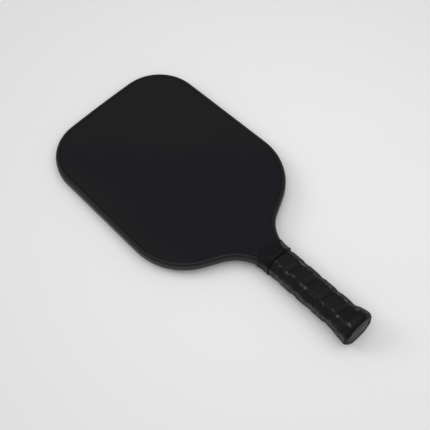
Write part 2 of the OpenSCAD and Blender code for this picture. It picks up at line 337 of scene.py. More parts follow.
def grid_quads(rows, columns, close_rows=False, close_columns=False):
    """Corner numbers of the quads of a rows by columns grid of points, joined up where closed."""
    number = np.arange(rows * columns).reshape(rows, columns)
    if close_rows:
        number = np.vstack([number, number[:1]])
    if close_columns:
        number = np.hstack([number, number[:, :1]])
    return np.stack([number[:-1, :-1], number[:-1, 1:], number[1:, 1:], number[1:, :-1]],
                    axis=-1).reshape(-1, 4)


def smooth_step(x):
    """Rises from 0 to 1 as x does, level at both ends: 3 x squared less 2 x cubed."""
    x = np.clip(x, 0.0, 1.0)
    return x * x * (3.0 - 2.0 * x)


def unit(vector):
    """The same direction with a length of 1."""
    return np.asarray(vector, float) / np.linalg.norm(vector)


def corner_arc(before, corner, after, radius, count=60):
    """The circle that touches both lines of a corner, as points and the bearing of the outside.

    Its centre is radius / sin(half the corner's angle) from the corner, on the bisector. Where
    the outline turns right the circle lies outside it, and the bearing points to its centre.
    """
    to_before = unit(np.subtract(before, corner))
    to_after = unit(np.subtract(after, corner))
    half = math.acos(to_before @ to_after) / 2
    centre = corner + unit(to_before + to_after) * radius / math.sin(half)
    start = math.atan2(to_before[0], -to_before[1])
    end = math.atan2(-to_after[0], to_after[1])
    swing = (end - start + 3 * math.pi) % (2 * math.pi) - math.pi
    bearing = start + swing * np.linspace(0.0, 1.0, count)
    outward = np.stack([np.cos(bearing), np.sin(bearing)], axis=1)
    return centre + math.copysign(radius, swing) * outward, bearing


PADDLE_LENGTH = reach("edge_guard", HIGHEST, ALONG)
GUARD_END = reach("edge_guard", LOWEST, ALONG)
GUARD_HEIGHT = reach("edge_guard", HIGHEST, UP)
FACE_HEIGHT = reach("front_face", HIGHEST, UP)
SHOULDER_HALF = 101.25
TOP_HALF = SHOULDER_HALF - 6.5
NECK_HALF = 17.0
THROAT_RISE = 15.0
SHOULDER_RISE = 43.0
THROAT_RADIUS = 46.0
SHOULDER_RADIUS = 71.0
TOP_RADIUS = 53.0
CROWN_DROP = 2.0
ROW_SPACING = 1.3
EDGE_BREAK = 0.12

crown_slope = math.atan(CROWN_DROP / TOP_HALF)
crown_radius = 0.85 * (TOP_HALF - TOP_RADIUS) / math.tan(crown_slope)
crown_corner = np.array([0.0, PADDLE_LENGTH + crown_radius * (1 / math.cos(crown_slope) - 1)])
throat_corner = np.array([NECK_HALF, GUARD_END + THROAT_RISE])
shoulder_corner = np.array([SHOULDER_HALF, throat_corner[1] + SHOULDER_RISE])
top_corner = np.array([TOP_HALF, crown_corner[1] - CROWN_DROP])


def guard_path(spacing):
    """Evenly spaced points round the outside of the head, each with its bearing outwards.

    The right side is four arcs joined by straight lines: throat, shoulder, top corner and half of
    the crown. The left side mirrors it. Between two arcs the bearing keeps still.
    """
    arcs = [
        corner_arc([NECK_HALF, 0.0], throat_corner, shoulder_corner, THROAT_RADIUS),
        corner_arc(throat_corner, shoulder_corner, top_corner, SHOULDER_RADIUS),
        corner_arc(shoulder_corner, top_corner, crown_corner, TOP_RADIUS),
        corner_arc(top_corner, crown_corner, top_corner * [-1, 1], crown_radius),
    ]
    points = np.vstack([a[0] for a in arcs])
    bearing = np.unwrap(np.concatenate([a[1] for a in arcs]))
    keep = (points[:, 1] > GUARD_END) & (points[:, 0] > 0)
    end_bearing = -math.asin((GUARD_END - arcs[0][0][0, 1]) / THROAT_RADIUS)
    end_x = NECK_HALF + THROAT_RADIUS * (1 - math.cos(end_bearing))
    points = np.vstack([[end_x, GUARD_END], points[keep], [0.0, PADDLE_LENGTH]])
    bearing = np.concatenate([[end_bearing], bearing[keep], [math.pi / 2]])
    points = np.vstack([points, points[-2::-1] * [-1, 1]])
    bearing = np.concatenate([bearing, math.pi - bearing[-2::-1]])
    along = np.concatenate([[0.0], np.cumsum(np.linalg.norm(np.diff(points, axis=0), axis=1))])
    even = np.linspace(0.0, along[-1], int(along[-1] / spacing) + 1)
    x = np.interp(even, along, points[:, 0])
    y = np.interp(even, along, points[:, 1])
    return np.stack([x, y], axis=1), np.interp(even, along, bearing), even


def arc_points(centre, radius, start_deg, end_deg, count):
    """Points on a circle's arc, both ends included."""
    angle = np.radians(np.linspace(start_deg, end_deg, count))
    return np.stack([centre[0] + radius * np.cos(angle), centre[1] + radius * np.sin(angle)], 1)


def guard_profile():
    """The channel's section as (outward, up) points, once round in two runs.

    The first is the outside from lip to lip: each lip thins towards its edge, and the outside
    rounds over to its wall as a quarter of an ellipse. The second is the filleted inside.
    """
    face = FACE_HEIGHT
    lip_edge = -5.0
    across = 2.9
    down = 4.6
    wall = 1.3
    inside = 0.35
    round_over = arc_points((0.0, 0.0), 1.0, 88, 6, 11) * [across, down]
    lip = np.vstack([
        [[lip_edge + 0.4, face], [lip_edge, 6.09], [-4.92, 6.2], [-4.5, 6.35], [-4.1, 6.48],
         [-3.7, 6.6], [-3.3, 6.68]],
        round_over + [-across - 0.02, GUARD_HEIGHT - down],
    ])
    heights = np.array([1.4, 0.7, 0.0])
    wall_face = np.stack([-0.004 * heights ** 2, heights], axis=1)
    channel = np.vstack([
        [[-wall, 0.0], [-wall, 3.0]],
        arc_points((-wall - inside, face - inside), inside, 0, 90, 4),
        [[-3.2, face]],
    ])
    mirror = [1, -1]
    outer = np.vstack([lip, wall_face, (wall_face[:-1] * mirror)[::-1], (lip * mirror)[::-1]])
    inner = np.vstack([(channel[1:] * mirror)[::-1], channel])
    return outer, inner


def loop_normals(profile):
    """Outward normals of a closed loop: the tangent between its neighbours, turned a quarter."""
    tangent = np.roll(profile, -1, axis=0) - np.roll(profile, 1, axis=0)
    tangent /= np.linalg.norm(tangent, axis=1, keepdims=True)
    area = np.sum(profile[:, 0] * np.roll(profile[:, 1], -1)
                  - profile[:, 1] * np.roll(profile[:, 0], -1))
    return np.stack([tangent[:, 1], -tangent[:, 0]], axis=1) * math.copysign(1.0, area)


def guard_plastic():
    """Satin black plastic: fine lines along the extrusion, scuffs, and painted shade on a dull band
    at each lip's inner edge, standing in for the shadow line there.
    """
    finish = Finish("guard_plastic", Specular_IOR_Level=0.27)
    place = finish.place()
    along = finish.node("ShaderNodeUVMap", {"uv_map": "along"})
    lines = finish.noise(finish.stretched(along, 14.0, 260.0, 1.0), 1.0, 3.0, 0.55)
    scuff = finish.ramp(finish.noise(finish.stretched(along, 120.0, 30.0, 1.0), 1.0, 5.0, 0.65),
                        0.66, 0.8)
    grain = finish.noise(place, 1500.0, 2.0)
    across = finish.node("ShaderNodeSeparateXYZ", {}, {0: along}, "Y")
    # Painted shade: the outside is painted near black for the first 1.1 to 1.8 mm round from each
    # lip's edge, for the shadow line at the lip's inner edge. The band is also made rougher.
    lip = finish.ramp(across, 0.0011, 0.0018, 1.0, 0.0)
    plain = finish.blend(scuff * 0.4, grey(0.0040, 1.02, 0.97, 1.04), grey(0.02))
    finish.set(Base_Color=finish.blend(lip, plain, grey(0.0008)),
               Roughness=finish.ramp(lines, 0.3, 0.75, 0.42, 0.54) + scuff * 0.1 + lip * 0.5)
    return finish.bumped(lines * 0.6 + grain * 0.5, 0.00003, 0.8)


def edge_guard():
    """The section carried along the path: point + outward * section's first, second straight up.

    At each end the last row is pulled in along the section's own normals, and the next row stands
    as far from it, which breaks the edges of the saw cut.
    """
    points, bearing, along = guard_path(ROW_SPACING)
    outer, inner = guard_profile()
    profile = np.vstack([outer, inner])
    normals = loop_normals(profile)
    rows = len(points)
    pulled = np.zeros(rows)
    pulled[:2] = [EDGE_BREAK, EDGE_BREAK * 0.3]
    pulled[-2:] = [EDGE_BREAK * 0.3, EDGE_BREAK]
    section = profile[None] - pulled[:, None, None] * normals[None]
    outward = np.stack([np.cos(bearing), np.sin(bearing)], axis=1)
    points[1] = points[0] + EDGE_BREAK * unit(points[1] - points[0])
    points[-2] = points[-1] + EDGE_BREAK * unit(points[-2] - points[-1])
    flat = points[:, None, :] + section[..., :1] * outward[:, None, :]
    solid = np.concatenate([flat, section[..., 1:]], axis=2)
    count = len(profile)
    around = np.concatenate([[0.0], np.cumsum(np.linalg.norm(np.diff(profile, axis=0), axis=1))])
    lip_to_lip = around[len(outer) - 1]
    around = np.minimum(around, np.abs(lip_to_lip - around))
    # The map runs along the guard and, from either lip's edge, round the outside.
    path_map = np.stack(np.broadcast_arrays(along[:, None] * MM, around[None] * MM), axis=2)
    ends = [np.arange(count)[None, ::-1], (rows - 1) * count + np.arange(count)[None]]
    return add_piece("edge_guard_channel", solid.reshape(-1, 3),
                     [grid_quads(rows, count, close_columns=True), *ends],
                     guard_plastic(), ["edge_guard"], path_map.reshape(-1, 2))


edge_guard()

# ---------------------------------------------------------------------------------------------
# Pallets. Two blocks of light hardwood glued to the two sides of the tongue, which make the
# handle eight-sided. They are sanded down to a ramp that runs out onto the faces.
# ---------------------------------------------------------------------------------------------


def sanded_wood():
    """Growth rings drawn out along the handle, with darker pores."""
    finish = Finish("sanded_wood")
    place = finish.place()
    wander = finish.noise(finish.stretched(place, 60.0, 6.0, 60.0), 1.0, 3.0)
    rings = finish.node("ShaderNodeTexWave", {"wave_type": "RINGS", "rings_direction": "Y"},
                        {"Vector": finish.stretched(place, 1.0, 0.06, 1.0), "Scale": 110.0,
                         "Distortion": wander * 5.0, "Detail": 2.0})
    pores = finish.noise(finish.stretched(place, 2400.0, 90.0, 2400.0), 1.0, 2.0)
    board = finish.blend(rings, (0.50, 0.33, 0.18, 1.0), (0.68, 0.50, 0.31, 1.0))
    finish.set(Base_Color=finish.blend(finish.ramp(pores, 0.5, 0.7), board,
                                       (0.36, 0.22, 0.11, 1.0)),
               Roughness=finish.ramp(rings, 0.0, 1.0, 0.62, 0.74))
    return finish.bumped(pores + rings * 0.4, 0.0001)


wood = sanded_wood()
for name in ("front_pallet", "back_pallet"):
    finish_node(name, wood)

# ---------------------------------------------------------------------------------------------
# Butt cap. A moulded cup of black plastic that slides over the pallets' lower ends. Its sleeve
# flares out under the wrap, and its bare chamfered rim closes the end of the handle.
# ---------------------------------------------------------------------------------------------

CORNER_FLATS = 8
SECTION_WIDTH = 30.4
SECTION_DEPTH = 26.4
SECTION_CUT = 7.13


def eight_sided(width, depth, cut, radius, arc_steps=5, flat_steps=5):
    """A section with eight flats and rounded corners, as points and bearings outwards.

    Flat k faces k * 45 degrees. Each corner is an arc that touches its two flats: its centre is
    radius / cos(22.5 degrees) in from the corner. Width, depth, cut and radius may be arrays.
    """
    width, depth, cut, radius = np.broadcast_arrays(width, depth, cut, radius)
    x = width / 2
    z = depth / 2
    corners = np.stack([
        np.stack([x, z - cut], -1), np.stack([x - cut, z], -1),
        np.stack([-x + cut, z], -1), np.stack([-x, z - cut], -1),
        np.stack([-x, -z + cut], -1), np.stack([-x + cut, -z], -1),
        np.stack([x - cut, -z], -1), np.stack([x, -z + cut], -1),
    ], axis=-2)
    turn = math.pi / 4
    swing = turn * np.linspace(0.0, 1.0, arc_steps + 1)
    bearing = turn * np.arange(CORNER_FLATS)[:, None] + swing[None]
    middle = turn * (np.arange(CORNER_FLATS) + 0.5)
    inward = np.stack([np.cos(middle), np.sin(middle)], axis=1)
    centres = corners - (radius / math.cos(turn / 2))[..., None, None] * inward
    outward = np.stack([np.cos(bearing), np.sin(bearing)], axis=2)
    arcs = centres[..., None, :] + radius[..., None, None, None] * outward
    share = np.linspace(0.0, 1.0, flat_steps + 1)[1:-1]
    starts = arcs[..., -1, :]
    ends = np.roll(arcs[..., 0, :], -1, axis=-2)
    flats = starts[..., None, :] + (ends - starts)[..., None, :] * share[:, None]
    points = np.concatenate([arcs, flats], axis=-2)
    flat_bearing = np.broadcast_to(bearing[:, -1:], (CORNER_FLATS, len(share)))
    bearings = np.concatenate([bearing, flat_bearing], axis=1).ravel()
    return points.reshape(*points.shape[:-3], -1, 2), bearings


FLARE_START = 7.6
FLARE_END = 27.0
FLARE_SIZE = 6.6


def flare(y):
    """How far the handle stands out beyond its straight part at a height, on each side."""
    share = (np.asarray(y, float) - FLARE_START) / (FLARE_END - FLARE_START)
    return FLARE_SIZE / 2 * (1.0 - smooth_step(share)) ** 1.25


def handle_rings(stations, radius=1.3):
    """Rings round the handle from (height, offset) pairs: the section of the underlay, moved out
    along its normals by the flare and the offset."""
    stations = np.asarray(stations, float)
    section, bearing = eight_sided(SECTION_WIDTH, SECTION_DEPTH, SECTION_CUT, radius)
    outward = np.stack([np.cos(bearing), np.sin(bearing)], axis=1)
    out = flare(stations[:, 0]) + stations[:, 1]
    ring = section[None] + out[:, None, None] * outward[None]
    height = np.broadcast_to(stations[:, :1], ring.shape[:2])
    return np.stack([ring[..., 0], height, ring[..., 1]], axis=2)


def skin_rings(rings, capped=True):
    """Faces of a body skinned over a list of rings, with its first and last ring closed flat."""
    rows, count = rings.shape[:2]
    blocks = [grid_quads(rows, count, close_rows=not capped, close_columns=True)]
    if capped:
        blocks += [np.arange(count)[None, ::-1], (rows - 1) * count + np.arange(count)[None]]
    return blocks


def section_rings(stations):
    """Rings from (height, width, depth, cut, radius) rows."""
    rows = np.asarray(stations, float)
    section, _ = eight_sided(rows[:, 1], rows[:, 2], rows[:, 3], rows[:, 4])
    height = np.broadcast_to(rows[:, :1], section.shape[:2])
    return np.stack([section[..., 0], height, section[..., 1]], axis=2)


def moulded_plastic(name, level, roughness, relief=0.00004, shine=0.4):
    """Satin moulded plastic: a faint spark-eroded grain, with slightly polished patches."""
    finish = Finish(name, Specular_IOR_Level=shine)
    place = finish.place()
    grain = finish.noise(place, 1900.0, 3.0, 0.55)
    patch = finish.noise(place, 55.0, 3.0)
    finish.set(Base_Color=finish.blend(patch, grey(level), grey(level * 1.5, 1.0, 1.0, 1.04)),
               Roughness=finish.ramp(patch, 0.3, 0.7, roughness, roughness + 0.08))
    return finish.bumped(grain, relief, 0.7)


def butt_cap():
    """One skin over rings: up from the cavity's floor, over the sleeve's mouth, down the flared
    outside under the wrap, out over the bare rim, in along the chamfer and into the recess."""
    floor = reach("front_pallet", LOWEST, ALONG)
    mouth = reach("butt_cap", HIGHEST, ALONG) - 0.2
    sleeve = -0.2
    rim = 1.35
    rim_top = 3.55
    cavity = [28.4, 24.4, 6.59, 0.8]
    inner = section_rings([[floor, 27.8, 23.8, 6.4, 0.8], [floor, *cavity], [15.0, *cavity],
                           [mouth, *cavity]])
    outside = handle_rings(
        [[mouth, sleeve]]
        + [[y, sleeve] for y in np.linspace(25.0, rim_top + 0.05, 16)]
        + [[rim_top, sleeve + 0.1], [rim_top, rim - 0.45], [rim_top - 0.08, rim - 0.18],
           [rim_top - 0.3, rim], [2.95, rim], [2.75, rim - 0.06], [2.55, rim - 0.22],
           [1.5, rim - 0.98], [0.5, rim - 1.68], [0.22, rim - 1.9], [0.06, rim - 2.12],
           [0.0, rim - 2.4]])
    recess = section_rings([
        [0.0, 27.4, 23.4, 6.3, 2.4], [0.06, 27.1, 23.1, 6.2, 2.3], [0.2, 26.9, 22.9, 6.16, 2.2],
        [0.95, 26.8, 22.8, 6.16, 2.2], [0.95, 26.2, 22.2, 6.0, 2.0]])
    rings = np.concatenate([inner, outside, recess])
    return add_piece("butt_cap_cup", rings.reshape(-1, 3), skin_rings(rings),
                     moulded_plastic("cap_plastic", 0.002, 0.5, shine=0.15),
                     ["butt_cap"], sharp_deg=50.0)


butt_cap()

# ---------------------------------------------------------------------------------------------
# Tacks and staple. Bright steel wire: four tacks through the cap's narrow sides into the pallets,
# and the staple that holds the start of the wrap. Drawing leaves fine lines along the wire.
# ---------------------------------------------------------------------------------------------


def bright_steel():
    """Bare metal with fine drawn lines across the paddle, where the wire lies."""
    finish = Finish("bright_steel", Metallic=1.0)
    place = finish.place()
    drawn = finish.noise(finish.stretched(place, 300.0, 4000.0, 4000.0), 1.0, 3.0)
    finish.set(Base_Color=finish.blend(drawn, (0.52, 0.52, 0.53, 1.0), (0.70, 0.70, 0.69, 1.0)),
               Roughness=finish.ramp(drawn, 0.3, 0.7, 0.22, 0.36))
    return finish.bumped(drawn, 0.00002)


steel = bright_steel()
for name in ("butt_cap_tacks", "grip_staple"):
    finish_node(name, steel)

# ---------------------------------------------------------------------------------------------
# End plate. A plain satin disc of hard plastic, pressed onto its adhesive in the cap's end. It has
# a softened edge, a shallow ring groove and a slightly raised middle, and no marking.
# ---------------------------------------------------------------------------------------------


def end_plate():
    """One skin over rings from the flat back round the edge to the front, which faces -Y."""
    back = reach("end_plate", HIGHEST, ALONG)
    stations = [[back, 26.0, 22.0, 6.0, 2.1], [back, 26.4, 22.4, 6.08, 2.1],
                [0.3, 26.6, 22.6, 6.12, 2.1], [0.12, 26.5, 22.5, 6.1, 2.1],
                [0.02, 26.1, 22.1, 6.0, 2.0], [0.0, 25.4, 21.4, 5.8, 1.9],
                [0.0, 22.4, 18.4, 5.0, 1.7], [0.12, 22.1, 18.1, 4.9, 1.7],
                [0.16, 21.8, 17.8, 4.8, 1.7], [0.12, 21.5, 17.5, 4.75, 1.6],
                [0.0, 21.2, 17.2, 4.7, 1.6], [0.0, 12.0, 9.0, 2.5, 1.0]]
    rings = section_rings(stations)
    return add_piece("end_plate_disc", rings.reshape(-1, 3), skin_rings(rings),
                     moulded_plastic("plate_plastic", 0.006, 0.4, 0.00002, 0.2),
                     ["end_plate"], sharp_deg=60.0)


end_plate()

# ---------------------------------------------------------------------------------------------
# Underlay. A spiral of woven double-sided tape on the bare pallets, which the wrap sticks to. It
# stands as a plain sleeve, and only its weave and its colour are finished.
# ---------------------------------------------------------------------------------------------


def woven_tape():
    """Buff cotton tape, its warp and weft as two crossed waves."""
    finish = Finish("woven_tape")
    place = finish.place()
    warp = finish.node("ShaderNodeTexWave", {"bands_direction": "Y"},
                       {"Vector": place, "Scale": 320.0, "Distortion": 0.6})
    weft = finish.node("ShaderNodeTexWave", {"bands_direction": "X"},
                       {"Vector": place, "Scale": 320.0, "Distortion": 0.6})
    weave = warp.maths("MAXIMUM", warp, weft)
    finish.set(Base_Color=finish.blend(weave, (0.50, 0.46, 0.36, 1.0), (0.76, 0.73, 0.63, 1.0)),
               Roughness=finish.ramp(weave, 0.2, 0.9, 0.85, 0.65))
    return finish.bumped(weave, 0.0001)


finish_node("grip_underlay", woven_tape())

# ---------------------------------------------------------------------------------------------
# Grip wrap. One strip of black perforated cushion grip, 26 mm wide, wound up the handle from the
# butt. Each turn lies over the thinned head-side edge of the turn before, so its own edge shows
# as a step that faces the butt. The strip's ends are cut level with the rim and the collar.
# ---------------------------------------------------------------------------------------------

PITCH = 23.0
STRIP = 26.0
WRAP_THICKNESS = 1.8
WRAP_START = reach("grip_wrap", LOWEST, ALONG)
WRAP_END = reach("grip_wrap", HIGHEST, ALONG)
TIP_WIDTH = 1.5
START_TURN = 0.251
TAIL_START = 115.4
TAIL_HEIGHT = 0.9
SKIVE_LENGTH = 6.0
SKIVE_EDGE = 0.25
FRONT_EDGE = 0.42
FRONT_LENGTH = 8.0
EDGE_ROUND = 0.7
CORNER_RADIUS = 3.0
HOLE_ROWS = 5
HOLE_SPACING = 4.9
CELLS = 6
HOLE_RADIUS = 0.4
HOLE_DEPTH = 0.9
BAND = 1.2


def strip_thickness(t):
    """Full in the middle, thinned in smooth steps towards the head-side edge and the front edge.

    The front edge itself is rounded as a quarter of a circle over its last EDGE_ROUND.
    """
    head = WRAP_THICKNESS + (SKIVE_EDGE - WRAP_THICKNESS) * smooth_step(
        (t - STRIP + SKIVE_LENGTH) / SKIVE_LENGTH)
    front = FRONT_EDGE + (WRAP_THICKNESS - FRONT_EDGE) * smooth_step(t / FRONT_LENGTH)
    rounded = np.sqrt(np.clip(1.0 - (1.0 - np.clip(t / EDGE_ROUND, 0.0, 1.0)) ** 2, 0.0, 1.0))
    return np.minimum(head, front) * (0.25 + 0.75 * rounded)


def under_height(t, turns):
    """Height of the turn below: its thinned edge for the first 3 mm, then down to the underlay."""
    overlap = STRIP - PITCH
    below = strip_thickness(np.minimum(t, overlap) + PITCH)
    fade = 1.0 - smooth_step((t - overlap) / 1.6)
    return below * fade * smooth_step((turns - 1.0) / 0.1)


def grip_section():
    """The underlay's section by the share of the way round, as dense lookup rows."""
    points, bearing = eight_sided(SECTION_WIDTH, SECTION_DEPTH, SECTION_CUT, CORNER_RADIUS,
                                  12, 24)
    points = np.vstack([points, points[:1]])
    bearing = np.append(bearing, 2 * math.pi)
    length = np.concatenate([[0.0], np.cumsum(np.linalg.norm(np.diff(points, axis=0), axis=1))])
    return points, bearing, length


def wrap_surface(turns, t, height):
    """Points at a number of turns along the strip, t across it and a height above the underlay.

    Going once round the section climbs one pitch, and the flare and the height move a point out
    along the section's normal.
    """
    points, bearing, length = grip_section()
    share = ((turns + START_TURN) % 1.0) * length[-1]
    x = np.interp(share, length, points[:, 0])
    z = np.interp(share, length, points[:, 1])
    angle = np.interp(share, length, bearing)
    y = WRAP_START + TIP_WIDTH - STRIP + PITCH * turns + t
    out = flare(y) + height
    return np.stack([x + out * np.cos(angle), y, z + out * np.sin(angle)], axis=-1)


def outer_height(turns, t):
    """The strip's outside: what is below it, its thickness, and slight slackness from winding.

    The slackness is three sine waves that drift against each other, and a low roll behind the
    front edge. The last few millimetres step down to the tail's height under the collar.
    """
    y = WRAP_START + TIP_WIDTH - STRIP + PITCH * turns + t
    height = under_height(t, turns) + strip_thickness(t)
    slack = (0.05 * np.sin(turns * 41.0 + 1.3) * np.sin(t * 0.31 + turns * 7.0)
             + 0.035 * np.sin(turns * 97.0 + t * 0.42) + 0.03 * np.sin(turns * 23.0 - t * 0.9))
    roll = 0.04 * np.exp(-((t - 3.4) / 1.7) ** 2) * smooth_step((turns - 1.0) / 0.1)
    height = height + slack * smooth_step(t / 2.0) + roll
    tail = smooth_step((y - TAIL_START + 0.8) / 0.8)
    return np.maximum(height + (TAIL_HEIGHT - height) * tail, 0.2)


def grip_leather():
    """Black synthetic leather: a fine pebbled grain, worn shiny in spots along the corners.

    The distance from the handle's middle plane tells a flat from a corner: the spots lie where
    the wide flats turn down, and a fainter run of them where the narrow sides begin.
    """
    finish = Finish("grip_leather", Specular_IOR_Level=0.2)
    place = finish.place()
    pebble = finish.node("ShaderNodeTexVoronoi", {"feature": "SMOOTH_F1"},
                         {"Vector": place, "Scale": 1150.0, "Smoothness": 0.6}, "Distance")
    creases = finish.noise(place, 420.0, 4.0, 0.6)
    rubbed = finish.noise(place, 130.0, 3.0, 0.55)
    patches = finish.noise(place, 170.0, 1.0, 0.4)
    out = finish.node("ShaderNodeSeparateXYZ", {}, {0: place}, "X")
    out = out.maths("ABSOLUTE", out)
    corner = finish.ramp(out, 0.0070, 0.0082) * finish.ramp(out, 0.0102, 0.0116, 1.0, 0.0)
    side = finish.ramp(out, 0.0142, 0.0156)
    worn = (corner * finish.ramp(patches, 0.51, 0.66)
            + side * finish.ramp(patches, 0.36, 0.66, 0.0, 0.3))
    finish.set(Base_Color=finish.blend(rubbed, grey(0.0014, 1.0, 0.98, 0.95),
                                       grey(0.0026, 1.0, 0.98, 0.95)),
               Roughness=0.56 - worn * 0.2, Coat_Weight=worn, Coat_Roughness=0.35)
    return finish.bumped(pebble * 0.7 + creases * 0.5, 0.00009, 0.6)


def grip_wrap():
    """The strip as a closed loop of rows across it, carried along it and capped at both ends.

    Rows run over the outside from the front edge to the head-side edge and back underneath. The
    middle of the outside is a grid of square cells, CELLS to a perforation each way. Round each
    perforation the four middle cells give way to a ring, a wall and a pit.
    """
    _, _, length = grip_section()
    total_turns = (WRAP_END - WRAP_START - 2 * TIP_WIDTH + STRIP) / PITCH
    mean_girth = length[-1] + 5.0
    holes_along = int(round(total_turns * mean_girth / HOLE_SPACING))
    columns = holes_along * CELLS + 1
    turns = np.linspace(0.0, total_turns, columns)
    front = np.array([0.0, 0.1, 0.35, 0.75])
    middle = np.linspace(BAND, STRIP - BAND, HOLE_ROWS * CELLS + 1)
    back = np.array([STRIP - 0.6, STRIP - 0.15, STRIP])
    across = np.concatenate([front, middle, back])
    beneath = np.linspace(STRIP, 0.0, 14)[:-1]

    edge = WRAP_START + TIP_WIDTH - STRIP + PITCH * turns
    low = np.maximum(0.0, WRAP_START - edge)
    high = np.minimum(STRIP, WRAP_END - edge)

    def clipped(rows):
        """Places across the strip, squeezed into what the level cuts leave of each column."""
        return low[:, None] + (high - low)[:, None] * rows[None] / STRIP

    turn_grid = np.broadcast_to(turns[:, None], (columns, len(across)))
    t_out = clipped(across)
    top = wrap_surface(turn_grid, t_out, outer_height(turn_grid, t_out))
    turn_under = np.broadcast_to(turns[:, None], (columns, len(beneath)))
    t_under = clipped(beneath)
    bottom = wrap_surface(turn_under, t_under, under_height(t_under, turn_under))
    rows = len(across) + len(beneath)
    solid = np.concatenate([top, bottom], axis=1)
    quads = grid_quads(columns, rows, close_columns=True)

    # The perforations, on tiles that are tall enough and clear of the finished ends.
    column, row = np.meshgrid(np.arange(holes_along) * CELLS + CELLS // 2,
                              len(front) + np.arange(HOLE_ROWS) * CELLS + CELLS // 2,
                              indexing="ij")
    column = column.ravel()
    row = row.ravel()
    tile = (high - low)[column] / STRIP * (middle[CELLS] - middle[0])
    height_at = edge[column] + t_out[column, row]
    kept = ((tile > 3.0) & (height_at < TAIL_START - 2.0) & (height_at > WRAP_START + 2.0)
            & (t_out[column, row] < PITCH - 1.0))
    column = column[kept]
    row = row[kept]
    around = np.array([[1, 0], [1, 1], [0, 1], [-1, 1], [-1, 0], [-1, -1], [0, -1], [1, -1]])
    frame_of = (column[:, None] + around[:, 0]) * rows + row[:, None] + around[:, 1]
    centre = column * rows + row
    pit = solid.reshape(-1, 3)[centre]
    ring = solid.reshape(-1, 3)[frame_of]
    side_along = ring[:, 0] - ring[:, 4]
    side_across = ring[:, 2] - ring[:, 6]
    normal = np.cross(side_along, side_across)
    normal /= np.linalg.norm(normal, axis=1, keepdims=True)
    outward = pit * [1, 0, 1]
    normal *= np.sign(np.sum(normal * outward, axis=1, keepdims=True))
    side_along /= np.linalg.norm(side_along, axis=1, keepdims=True)
    side_across = np.cross(normal, side_along)
    side_across *= np.sign(np.sum(side_across * (ring[:, 2] - ring[:, 6]), axis=1, keepdims=True))
    bearing = np.arctan2(around[:, 1], around[:, 0])

    def circle(radius, sunk):
        """Eight points round each perforation, sunk along the normal of the surface there."""
        return (pit[:, None] + radius * np.cos(bearing)[None, :, None] * side_along[:, None]
                + radius * np.sin(bearing)[None, :, None] * side_across[:, None]
                - sunk * normal[:, None])

    rim = circle(HOLE_RADIUS, 0.03)
    wall = circle(HOLE_RADIUS * 0.86, 0.16)
    floor = circle(HOLE_RADIUS * 0.7, HOLE_DEPTH)
    points = solid.reshape(-1, 3).copy()
    points[centre] = pit - (HOLE_DEPTH + 0.1) * normal
    base = len(points)
    count = len(column) * len(around)
    rim_of = base + np.arange(count).reshape(-1, len(around))
    wall_of = rim_of + count
    floor_of = wall_of + count

    def band(outer, inner):
        """Quads between two rings of eight points."""
        following = np.roll(outer, -1, axis=1), np.roll(inner, -1, axis=1)
        return np.stack([outer, following[0], following[1], inner], axis=2).reshape(-1, 4)

    # The four quads that meet at a perforation's centre go.
    lowest = np.array([[-1, -1], [-1, 0], [0, -1], [0, 0]])
    gone = (column[:, None] + lowest[:, 0]) * rows + row[:, None] + lowest[:, 1]
    quads = quads[~np.isin(quads[:, 0], gone)]
    rings = np.concatenate([band(frame_of, rim_of), band(rim_of, wall_of),
                            band(wall_of, floor_of)])
    pits = np.stack([floor_of, np.roll(floor_of, -1, axis=1),
                     np.broadcast_to(centre[:, None], floor_of.shape)], axis=2).reshape(-1, 3)
    points = np.vstack([points, rim.reshape(-1, 3), wall.reshape(-1, 3), floor.reshape(-1, 3)])
    ends = [np.arange(rows)[None, ::-1], (columns - 1) * rows + np.arange(rows)[None]]
    # Rings and pits are turned over, to face the same way as the grid's quads.
    return add_piece("grip_wrap_strip", points, [quads, rings[:, ::-1], pits[:, ::-1], *ends],
                     grip_leather(), ["grip_wrap"], sharp_deg=60.0)


grip_wrap()

# ---------------------------------------------------------------------------------------------
# Finishing tape. One turn of glossy black vinyl tape over the wrap's thinned tail. The collar
# slides down over it, so it stays out of sight.
# ---------------------------------------------------------------------------------------------


def vinyl_tape():
    """Glossy black film with faint stretch lines round the handle."""
    finish = Finish("vinyl_tape", Coat_Weight=0.3)
    place = finish.place()
    stretch = finish.noise(finish.stretched(place, 500.0, 60.0, 500.0), 1.0, 3.0)
    finish.set(Base_Color=finish.blend(stretch, grey(0.012), grey(0.02)),
               Roughness=finish.ramp(stretch, 0.3, 0.7, 0.2, 0.34))
    return finish.bumped(stretch, 0.00004)


finish_node("finishing_tape", vinyl_tape())

# ---------------------------------------------------------------------------------------------
# Collar. A moulded boot of black rubber, rolled on over the wrap's end. A raised ring grips the
# wrap, the eight sides fall with the pallets' ramps, and two feathered tongues lie on the faces.
# ---------------------------------------------------------------------------------------------

RING_START = reach("collar", LOWEST, ALONG)
RING_LENGTH = 1.6
COLLAR_WALL = 0.9
SIDE_END = GUARD_END - 0.1
TONGUE_END = 139.0
TONGUE_HALF = 14.0
BEAD_HEIGHT = 0.62


def cubic_through(x, places, values):
    """A smooth curve through given places: cubic pieces with each slope taken from neighbours."""
    places = np.asarray(places, float)
    values = np.asarray(values, float)
    slope = np.gradient(values, places)
    slope[[0, -1]] = 0.0
    k = np.clip(np.searchsorted(places, x) - 1, 0, len(places) - 2)
    gap = places[k + 1] - places[k]
    s = np.clip((x - places[k]) / gap, 0.0, 1.0)
    return ((1 + 2 * s) * (1 - s) ** 2 * values[k] + s * (1 - s) ** 2 * gap * slope[k]
            + s ** 2 * (3 - 2 * s) * values[k + 1] + s ** 2 * (s - 1) * gap * slope[k + 1])


